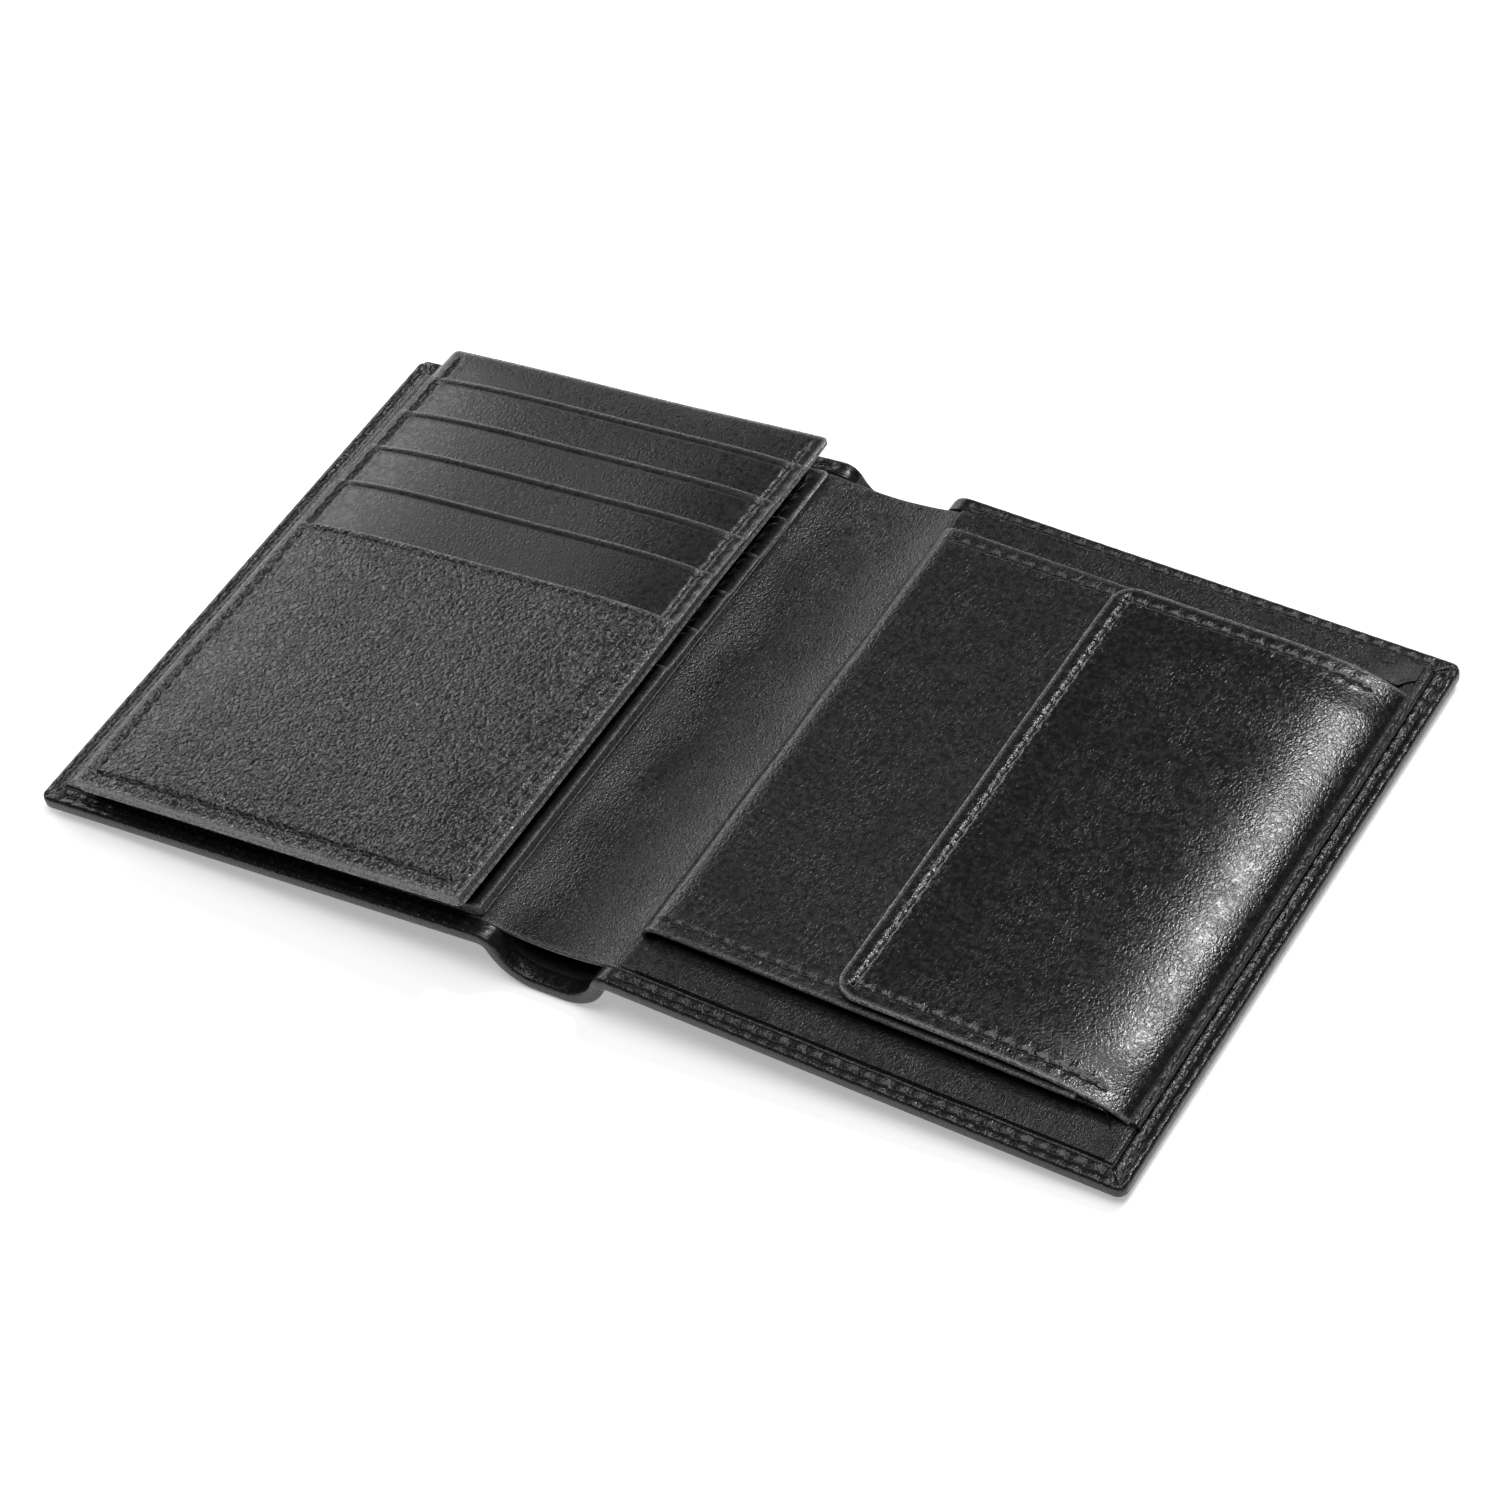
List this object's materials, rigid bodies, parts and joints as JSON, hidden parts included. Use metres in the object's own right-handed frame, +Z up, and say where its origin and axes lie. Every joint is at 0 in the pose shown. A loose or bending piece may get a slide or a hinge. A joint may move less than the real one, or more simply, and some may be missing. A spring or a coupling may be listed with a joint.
{
  "type": "wallet",
  "caption": "Upright leather wallet lying open, with a card leaf that turns like a page and a gusseted coin pocket with a flap.",
  "frame": {"origin": "on the table below the middle of the spine, half way along it", "axes": "+X to the right across the open wallet, +Y towards its far edge, +Z up"},
  "size_m": [0.2458, 0.14, 0.0193],
  "materials": {
    "grain_leather": "black pebbled grain, satin",
    "fine_leather": "black fine grain, satin",
    "lining_cloth": "black woven cloth, matt",
    "thread": "black waxed thread",
    "snap_metal": "plain"
  },
  "bodies": {
    "left_cover": {"shell_left": "grain_leather", "shell_lining_left": "lining_cloth", "divider_left": "grain_leather", "left_card_base": "fine_leather", "left_card_slot_1": "fine_leather", "left_card_slot_2": "fine_leather", "left_card_slot_3": "fine_leather", "left_card_slot_4": "fine_leather", "left_card_slot_5": "fine_leather", "leaf_hinge": "grain_leather", "left_cover_thread": "thread", "left_card_thread": "thread"},
    "spine": {"shell_spine": "grain_leather", "shell_lining_spine": "lining_cloth", "divider_spine": "grain_leather"},
    "right_cover": {"shell_right": "grain_leather", "shell_lining_right": "lining_cloth", "divider_right": "grain_leather", "coin_back": "grain_leather", "coin_lining": "lining_cloth", "coin_fold": "grain_leather", "coin_gusset_near": "grain_leather", "coin_gusset_far": "grain_leather", "flap_hinge": "grain_leather", "right_cover_thread": "thread"},
    "coin_pocket_front": {"coin_front": "grain_leather", "coin_front_lining": "lining_cloth", "snap_stud": "snap_metal", "coin_front_thread": "thread"},
    "coin_flap": {"flap_outer": "grain_leather", "flap_lining": "lining_cloth", "snap_socket": "snap_metal", "flap_thread": "thread"},
    "card_leaf": {"leaf_back": "grain_leather", "leaf_card_base": "fine_leather", "leaf_card_slot_1": "fine_leather", "leaf_card_slot_2": "fine_leather", "leaf_card_slot_3": "fine_leather", "leaf_card_slot_4": "fine_leather", "leaf_card_slot_5": "grain_leather", "leaf_thread": "thread"}
  },
  "joints": [
    {"name": "left_cover_fold", "type": "hinge", "parent": "left_cover", "child": "spine", "pos_m": [-0.01418, 0, 0.01105], "axis": [0, -1, 0], "range_deg": [0, 90]},
    {"name": "right_cover_fold", "type": "hinge", "parent": "spine", "child": "right_cover", "pos_m": [0.01418, 0, 0.01105], "axis": [0, -1, 0], "range_deg": [0, 90]},
    {"name": "leaf_turn", "type": "hinge", "parent": "left_cover", "child": "card_leaf", "pos_m": [-0.11349, 0, 0.00988], "axis": [0, -1, 0], "range_deg": [0, 180], "deforming": ["leaf_hinge"]},
    {"name": "flap_lift", "type": "hinge", "parent": "right_cover", "child": "coin_flap", "pos_m": [0.1177, 0, 0.00832], "axis": [0, 1, 0], "range_deg": [0, 180]},
    {"name": "coin_front_gape", "type": "hinge", "parent": "right_cover", "child": "coin_pocket_front", "pos_m": [0.01633, 0, 0.01352], "axis": [0, -1, 0], "range_deg": [0, 4], "deforming": ["coin_gusset_near", "coin_gusset_far"]}
  ],
  "couplings": [
    {"joint": "right_cover_fold", "follows": "left_cover_fold", "ratio": 1},
    {"joint": "coin_front_gape", "follows": "flap_lift", "ratio": 0.022222}
  ]
}
